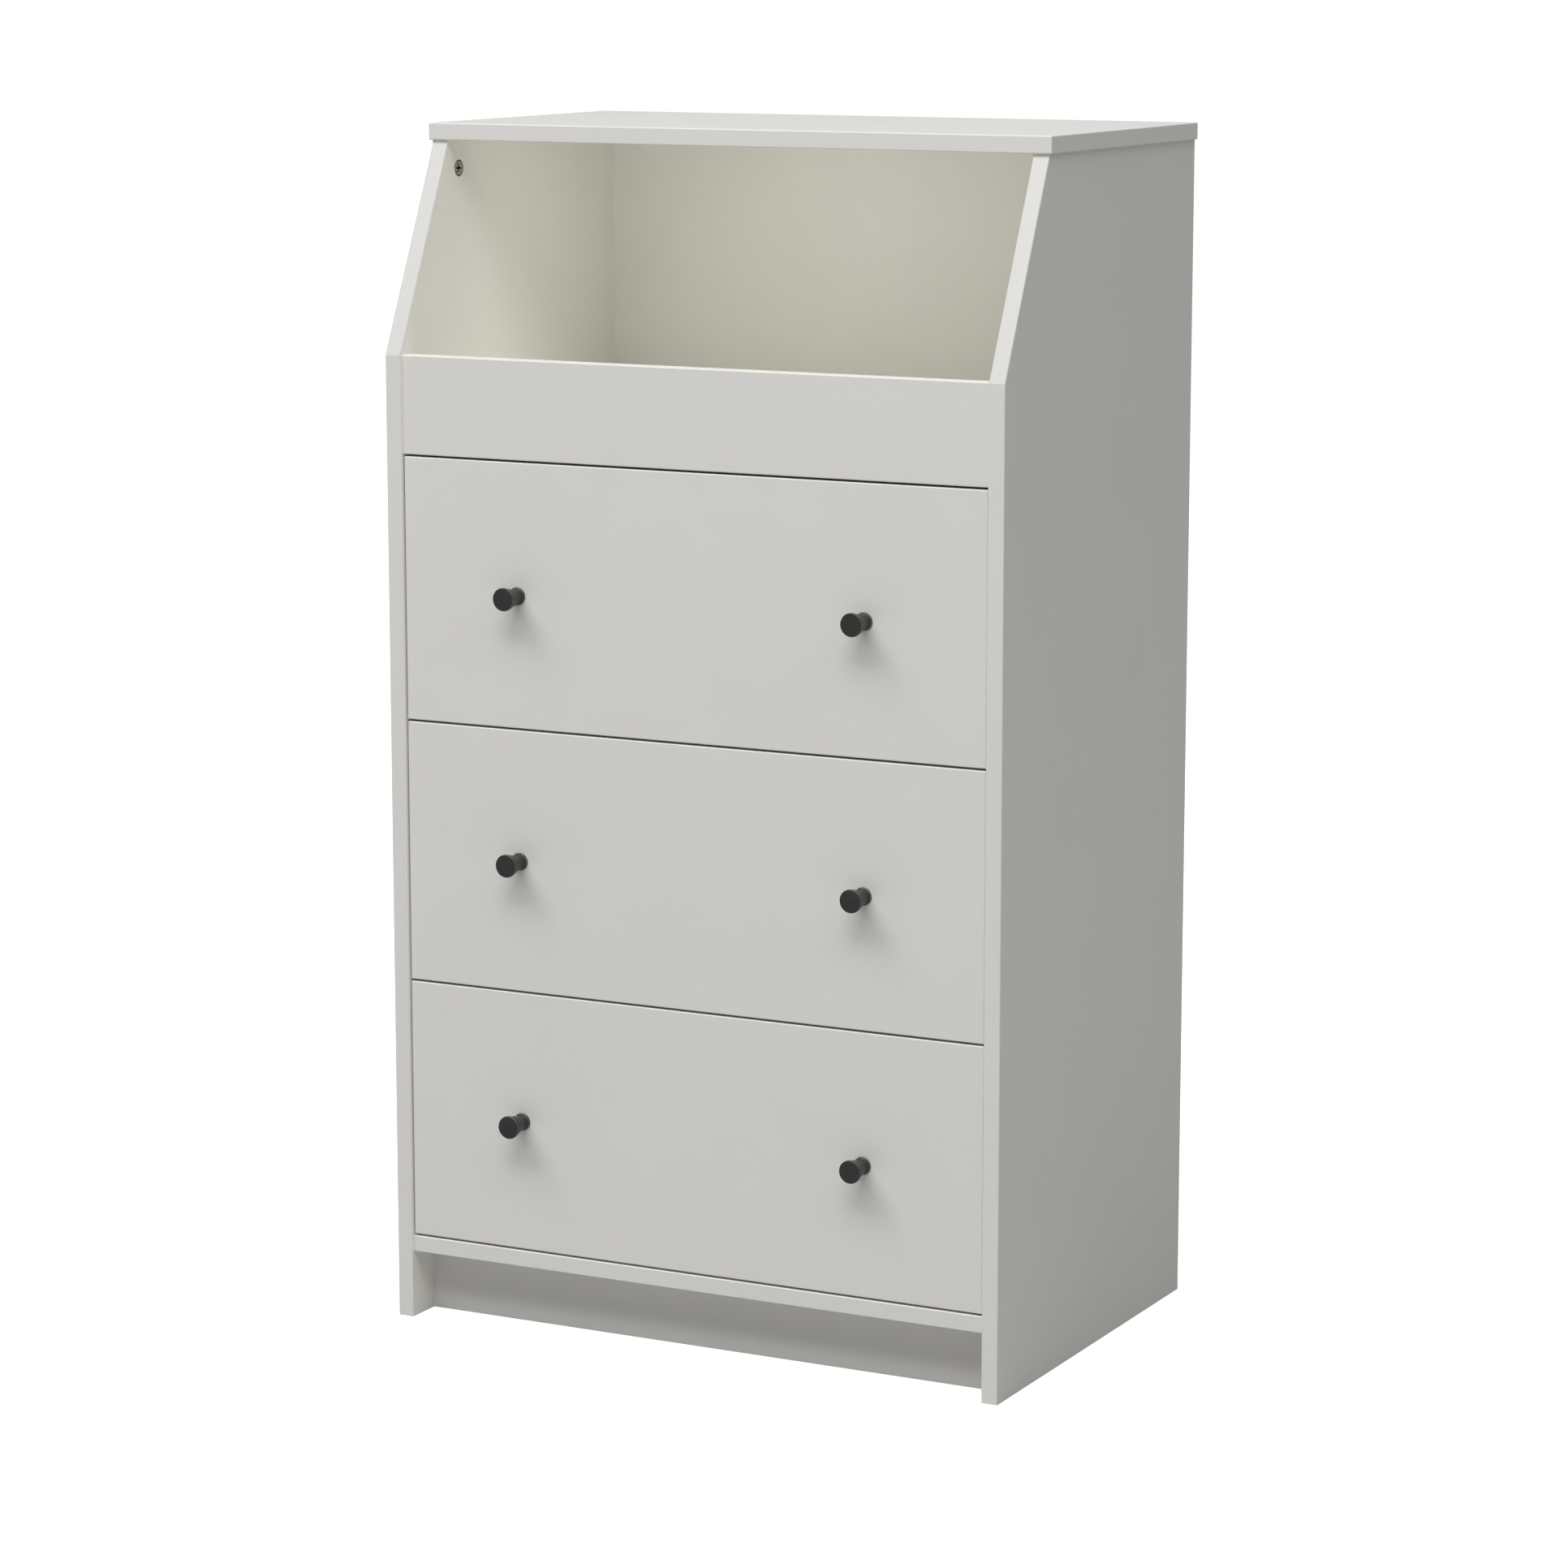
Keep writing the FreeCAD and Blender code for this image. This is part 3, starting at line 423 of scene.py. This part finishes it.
NODE_MATERIAL = {
    "side_panel_left": "panel_left",
    "side_panel_right": "panel_right",
    "top_panel": "top",
    "bottom_panel": "floor_board",
    "cubby_shelf": "floor_board",
    "front_rail": "rail",
    "plinth_board": "rail",
    "back_panel": "back",
    "cam_locks": "zinc",
    "cam_bolts": "plated",
    "wooden_dowels": "beech",
    "back_panel_nails": "plated",
    "runner_screws": "plated",
    "wall_brackets": "galvanised",
    "wall_bracket_screws": "plated",
}
ENDINGS = {
    "_drawer_front": "drawer_front",
    "_drawer_side_left": "drawer_side",
    "_drawer_side_right": "drawer_side",
    "_drawer_back": "drawer_back",
    "_drawer_base": "base",
    "_knob_left": "knob",
    "_knob_right": "knob",
    "_knob_screws": "plated",
    "_cam_locks": "zinc",
    "_cam_bolts": "plated",
    "_drawer_screws": "plated",
    "_runners": "rail_coat",
    "_rollers": "nylon",
}


def material_of(node):
    """The key of a node's material, by its name or by how its name ends."""
    return NODE_MATERIAL.get(node) or next(kind for end, kind in ENDINGS.items() if node.endswith(end))


for name, thing in NODES.items():
    thing.data.materials.clear()
    thing.data.materials.append(MATERIALS[material_of(name)])

# -------------------------------------------------------- detailed pieces
WELD = 0.001 * MM
SHARP = math.radians(35)


def islands(node):
    """The separate solids of a CAD node, each as an array of points in the row frame."""
    whole = bmesh.new()
    whole.from_mesh(NODES[node].data)
    whole.transform(NODES[node].matrix_world)
    bmesh.ops.remove_doubles(whole, verts=whole.verts, dist=WELD)
    seen, found = set(), []
    for start in whole.verts:
        if start in seen:
            continue
        seen.add(start)
        reached = [start]
        for vert in reached:
            fresh = [edge.other_vert(vert) for edge in vert.link_edges]
            fresh = [other for other in fresh if other not in seen]
            seen.update(fresh)
            reached.extend(fresh)
        found.append(np.array([vert.co for vert in reached]))
    whole.free()
    return found


def stance(points):
    """A round solid's middle, its axis and its length."""
    low, high = Vector(points.min(axis=0)), Vector(points.max(axis=0))
    size = high - low
    odd = min(range(3), key=lambda side: abs(size[side - 1] - size[side - 2]))
    return (low + high) / 2, (X, Y, Z)[odd], size[odd]


def head_way(points):
    """The direction from a round solid's middle to its wider end."""
    middle, axis, length = stance(points)
    along = (points - np.array(middle)) @ np.array(axis)
    off_axis = np.linalg.norm(points - np.array(middle) - np.outer(along, axis), axis=1)
    near_end = 0.49 * length
    return axis if off_axis[along > near_end].max() > off_axis[along < -near_end].max() else -axis


def stand(points, out, across):
    """A matrix that puts a pattern's face on a solid's end: local Z out of it, local X across."""
    middle, _, length = stance(points)
    turn = Matrix((across, out.cross(across), out)).transposed().to_4x4()
    return Matrix.Translation(middle + out * length / 2) @ turn


def lathe(mesh, outline, steps, shape=None):
    """Turns an outline of (radius, depth) points in mm, depth going down from the origin, and
    returns its rings of vertices. A third number is the material there. shape(radius, depth, angle)
    may change a radius."""
    rings, kinds = [], []
    for radius, depth, *kind in outline:
        kinds.append(kind[0] if kind else 0)
        ring = []
        for step in range(steps if radius else 1):
            angle = 2 * math.pi * step / steps
            reach = shape(radius, depth, angle) if shape and radius else radius
            spot = Vector((reach * math.cos(angle), reach * math.sin(angle), -depth))
            ring.append(mesh.verts.new(spot * MM))
        rings.append(ring)
    for here, there, kind in zip(rings, rings[1:], map(min, kinds, kinds[1:])):
        for step in range(steps):
            after = step + 1
            corners = [here[step % len(here)], here[after % len(here)],
                       there[after % len(there)], there[step % len(there)]]
            mesh.faces.new(list(dict.fromkeys(corners))).material_index = kind
    return rings


def arc(radius_at, depth_at, size, start, stop, steps=5, kind=0):
    """Outline points round part of a circle, in degrees from outwards (0) to downwards (90)."""
    angles = [math.radians(start + (stop - start) * step / steps) for step in range(steps + 1)]
    return [(radius_at + size * math.cos(a), depth_at + size * math.sin(a), kind) for a in angles]


def cross(reach, width):
    """Corners of a cross-shaped recess."""
    arm = ((width / 2, -width / 2), (reach, -width / 2), (reach, width / 2))
    quarters = ((1, 0), (0, 1), (-1, 0), (0, -1))
    return [(c * x - s * y, s * x + c * y) for c, s in quarters for x, y in arm]


def arrow(tip, back, half_width, bearing):
    """Corners of a small arrowhead that points away from the middle, on a bearing in degrees."""
    c, s = math.cos(math.radians(bearing)), math.sin(math.radians(bearing))
    return [(c * x - s * y, s * x + c * y) for x, y in ((tip, 0), (back, half_width), (back, -half_width))]


def recessed_face(mesh, ring, *recesses):
    """Closes a ring with a flat face that is sunk inside some outlines. Each recess is its
    corners, its depth, and how far its floor narrows, and takes the piece's second material, a darker
    one as painted shade."""
    edges = [mesh.edges.get(pair) for pair in zip(ring, ring[1:] + ring[:1])]
    for corners, depth, narrow in recesses:
        mouth = [mesh.verts.new((x * MM, y * MM, ring[0].co.z)) for x, y in corners]
        centre_at = sum((vert.co for vert in mouth), Vector()) / len(mouth)
        sunk = Vector((0, 0, -depth * MM))
        bottom = [mesh.verts.new(centre_at + (vert.co - centre_at) * narrow + sunk) for vert in mouth]
        sunk_faces = [mesh.faces.new(bottom)]
        for i, vert in enumerate(mouth):
            sunk_faces.append(mesh.faces.new((mouth[i - 1], vert, bottom[i], bottom[i - 1])))
        for face in sunk_faces:
            face.material_index = 1
        edges += [mesh.edges.get(pair) for pair in zip(mouth, mouth[1:] + mouth[:1])]
    bmesh.ops.triangle_fill(mesh, edges=edges, use_beauty=True)


def threaded(start, end, pitch, height, radius):
    """The rings of a thread and its helical ridge, as an outline and a shape for lathe."""
    count = round((end - start) / pitch * 4)
    rings = [(radius, start + (end - start) * step / count) for step in range(count + 1)]

    def ridge(radius_here, depth, angle):
        if not start < depth < end:
            return radius_here
        turn = (depth / pitch + angle / (2 * math.pi)) % 1
        return radius_here - height * abs(2 * turn - 1)

    return rings, ridge


def pattern(name, build, **sizes):
    """A mesh made by one of the functions below, smooth except along its sharp edges."""
    made = bmesh.new()
    build(made, **sizes)
    bmesh.ops.remove_doubles(made, verts=made.verts, dist=WELD)
    bmesh.ops.recalc_face_normals(made, faces=made.faces)
    mesh = bpy.data.meshes.new(name)
    made.to_mesh(mesh)
    made.free()
    mesh.shade_smooth()
    mesh.set_sharp_from_angle(angle=SHARP)
    return mesh


def stand_for(node, copies):
    """One piece in place of a CAD node, made of patterns that matrices put in their places."""
    whole = bmesh.new()
    for mesh, matrix in copies:
        already = len(whole.verts)
        whole.from_mesh(mesh)
        whole.verts.ensure_lookup_table()
        bmesh.ops.transform(whole, matrix=matrix, verts=whole.verts[already:])
    mesh = bpy.data.meshes.new(f"{node}_detailed")
    whole.to_mesh(mesh)
    whole.free()
    piece = bpy.data.objects.new(f"{node}_detailed", mesh)
    scene.collection.objects.link(piece)
    kind = material_of(node)
    mesh.materials.append(MATERIALS[kind])
    if kind in SECOND_MATERIAL:
        mesh.materials.append(MATERIALS[SECOND_MATERIAL[kind]])
    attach(piece, body_of(NODES[node])[0])
    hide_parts(node)
    return piece


def knob(mesh):
    """A turned knob: flat face with a soft edge, nearly conical neck, ring and round foot. The soft
    edge, the ring and the foot's round take the second material, a lighter black as painted highlight.
    """
    face, rim, neck, hollow, soft = 10.3, 2.0, 6.4, 0.45, 0.55
    ring, ring_soft, ring_at, foot, foot_soft, foot_at, reach = 7.0, 0.35, 22.4, 8.0, 0.7, 23.4, 25.0
    flare = []
    for step in range(1, 17):
        t = step / 16
        flare.append((face + (neck - face) * t - 4 * hollow * t * (1 - t), rim + (ring_at - rim) * t))
    # Outline points marked 1 are rounded edges that take the painted highlight.
    lathe(mesh, [
        (0, 0),
        *arc(face - soft, soft, soft, -90, 0, kind=1),
        (face, rim),
        *flare,
        *arc(ring - ring_soft, ring_at + ring_soft, ring_soft, -90, 0, kind=1),
        (ring, foot_at),
        *arc(foot - foot_soft, foot_at + foot_soft, foot_soft, -90, 0, kind=1),
        (foot, reach),
        (0, reach),
    ], 72)


def cam_lock(mesh, radius, depth, cross_reach, cross_width):
    """A die-cast cam: raised rim, sunk face with a cross and an arrow that a locked cam turns away
    from its bolt. The rim's top and outer round and the recesses take the second material, a dark
    zinc as painted shade."""
    sunk, soft, chamfer, cross_depth, arrow_depth = 0.55, 0.6, 0.4, 2.6, 1.2
    # Points marked 1 are the rim's top and outer round, painted dark as the shade of the gap round the cam.
    rings = lathe(mesh, [
        (radius - 1.75, sunk),
        (radius - 1.5, 0.08),
        (radius - 1.2, 0, 1),
        *arc(radius - soft, soft, soft, -90, 0, 4, kind=1),
        (radius, depth - chamfer),
        (radius - chamfer, depth),
        (0, depth),
    ], 48)
    pointer = arrow(tip=radius - 1.9, back=radius - 3.6, half_width=1.2, bearing=135)
    recessed_face(mesh, rings[0],
                  (cross(cross_reach, cross_width), cross_depth, 0.72),
                  (pointer, arrow_depth, 0.8))


def cam_bolt(mesh, head, shank, collar, thread):
    """The bolt that a cam draws: round head, thin shank, collar, and a wood thread."""
    head_height, collar_at, collar_height, thread_length = 3.0, 22.0, 2.0, 10.9
    start = collar_at + collar_height
    end = start + thread_length
    rings, ridge = threaded(start + 0.5, end - 1, pitch=1.8, height=0.5, radius=thread)
    lathe(mesh, [
        (0, 0),
        *arc(head - 0.7, 0.7, 0.7, -90, 0, 3),
        (head, head_height - 0.8),
        (shank, head_height),
        (shank, collar_at),
        (collar - 0.3, collar_at),
        (collar, collar_at + 0.3),
        (collar, start),
        (thread, start),
        *rings,
        (thread - 0.9, end),
        (0, end),
    ], 20, ridge)


def wood_screw(mesh, length, radius, head, head_height, pitch):
    """A screw with a low round head, a cross recess, and a thread to its tip. length is overall."""
    dome = 0.8 * min(head_height, head / 2)
    tip = length - 1.6 * radius
    rings, ridge = threaded(head_height + 0.4, tip, pitch, height=0.28 * radius, radius=radius)
    rings = lathe(mesh, [
        *arc(head - dome, dome, dome, -90, 0, 4),
        (head, head_height),
        (radius, head_height),
        *rings,
        (0.25 * radius, length),
        (0, length),
    ], 20, ridge)
    recess = cross(0.72 * (head - dome), 0.24 * head)
    # The cross recess takes the second material, a darker steel painted as shade.
    recessed_face(mesh, rings[0], (recess, min(1.4 * head_height, 1.8), 0.55))


def nail(mesh, length, radius, head, head_height):
    """A round-headed panel nail with a drawn point. length is overall."""
    lathe(mesh, [
        (0, 0),
        *arc(head - 0.25, 0.25, 0.25, -90, 0, 3),
        (head, head_height),
        (radius, head_height),
        (radius, length - 2),
        (0, length),
    ], 20)


def dowel(mesh, length, radius):
    """A fluted dowel with chamfered ends."""
    def flutes(radius_here, depth, angle):
        return radius_here - 0.28 * max(0, math.cos(14 * angle)) ** 2

    chamfer = 1.2
    lathe(mesh, [
        (0, 0),
        (radius - chamfer, 0),
        (radius, chamfer),
        (radius, length - chamfer),
        (radius - chamfer, length),
        (0, length),
    ], 84, flutes)


def roller(mesh, radius, width, bore):
    """A moulded roller: thin web between its hub and its tread."""
    hub, web_start, web_end, lip, sunk = 3.6, 4.1, 6.2, 6.6, 1.5
    soft = 0.5
    side = [
        (bore, 0),
        (hub, 0),
        (web_start, 0.35),
        (web_start + 0.1, sunk),
        (web_end - 0.1, sunk),
        (web_end, 0.35),
        (lip, 0),
        *arc(radius - soft, soft, soft, -90, 0, 4),
    ]
    other = [(reach, width - depth) for reach, depth, *_ in reversed(side)]
    lathe(mesh, [*side, *other, side[0]], 48)


KNOB = pattern("knob", knob)
CARCASS_CAM = pattern("carcass_cam", cam_lock, radius=7.45, depth=12.4, cross_reach=4.0, cross_width=1.9)
BOX_CAM = pattern("box_cam", cam_lock, radius=5.95, depth=9.4, cross_reach=3.1, cross_width=1.5)
CARCASS_BOLT = pattern("carcass_bolt", cam_bolt, head=3.3, shank=1.9, collar=3.8, thread=2.4)
BOX_BOLT = pattern("box_bolt", cam_bolt, head=2.5, shank=1.5, collar=2.8, thread=1.9)
KNOB_SCREW = pattern("knob_screw", wood_screw, length=27.6, radius=1.95, head=4.0, head_height=2.6,
                     pitch=0.9)
NAIL = pattern("nail", nail, length=20.6, radius=0.65, head=2.0, head_height=0.6)
DOWEL = pattern("dowel", dowel, length=30.0, radius=3.9)
ROLLER = pattern("roller", roller, radius=8.0, width=8.0, bore=2.05)
WOOD_SCREWS = {}
DRAWERS = ("upper", "middle", "lower")


def sized_screw(points):
    """The wood screw as long as a CAD one."""
    length = round(stance(points)[2] / MM, 1)
    if length not in WOOD_SCREWS:
        WOOD_SCREWS[length] = pattern(f"wood_screw_{length:g}", wood_screw, length=length, radius=1.75,
                                      head=2.5, head_height=0.6, pitch=1.6)
    return WOOD_SCREWS[length]


def by_head(node, mesh=None):
    """Stands for a node of round pieces, each with its wider end outwards. Without a mesh they are wood
    screws, each as long as its CAD one."""
    copies = []
    for points in islands(node):
        out = head_way(points)
        across = X if abs(out.x) < 0.5 else Z
        copies.append((mesh or sized_screw(points), stand(points, out, across)))
    stand_for(node, copies)


def cam_locks(node, mesh):
    """Stands for a node of cam locks, whose mouths face the middle, the floor or the back."""
    for_drawer = node != "cam_locks"
    copies = []
    for points in islands(node):
        middle, axis, _ = stance(points)
        outwards = X * math.copysign(1, middle.x)
        out = {ACROSS: -outwards, DEEP: Y, UP: -Z}[list(axis).index(1)]
        joint = -Y if for_drawer else Z if axis == X else outwards
        copies.append((mesh, stand(points, out, joint)))
    stand_for(node, copies)


cam_locks("cam_locks", CARCASS_CAM)
by_head("cam_bolts", CARCASS_BOLT)
by_head("back_panel_nails", NAIL)
by_head("runner_screws")
by_head("wall_bracket_screws")
by_head("wooden_dowels", DOWEL)
for drawer in DRAWERS:
    cam_locks(f"{drawer}_drawer_cam_locks", BOX_CAM)
    by_head(f"{drawer}_drawer_cam_bolts", BOX_BOLT)
    by_head(f"{drawer}_drawer_screws")
    by_head(f"{drawer}_drawer_knob_screws", KNOB_SCREW)
    by_head(f"{drawer}_drawer_knob_left", KNOB)
    by_head(f"{drawer}_drawer_knob_right", KNOB)
    by_head(f"{drawer}_front_rollers", ROLLER)
    by_head(f"{drawer}_rear_rollers", ROLLER)


def soften(node, width):
    """Rounds the bends and edges of a sheet-metal node."""
    weld = NODES[node].modifiers.new("weld", "WELD")
    weld.merge_threshold = WELD
    bevel = NODES[node].modifiers.new("bends", "BEVEL")
    bevel.width = width
    bevel.segments = 3
    bevel.limit_method = "ANGLE"
    bevel.angle_limit = SHARP
    bevel.harden_normals = True


BEND = 0.5 * MM
soften("wall_brackets", BEND)
for drawer in DRAWERS:
    soften(f"{drawer}_cabinet_runners", BEND)
    soften(f"{drawer}_drawer_runners", BEND)

# ------------------------------------------------------------ studio floor
FLOOR_HALF = 60
corners = [(x * FLOOR_HALF, y * FLOOR_HALF, 0) for x, y in ((-1, -1), (1, -1), (1, 1), (-1, 1))]
floor_mesh = bpy.data.meshes.new("studio_floor")
floor_mesh.from_pydata(corners, [], [(0, 1, 2, 3)])
floor = bpy.data.objects.new("studio_floor", floor_mesh)
scene.collection.objects.link(floor)
floor_mesh.materials.append(studio_floor("studio_floor"))
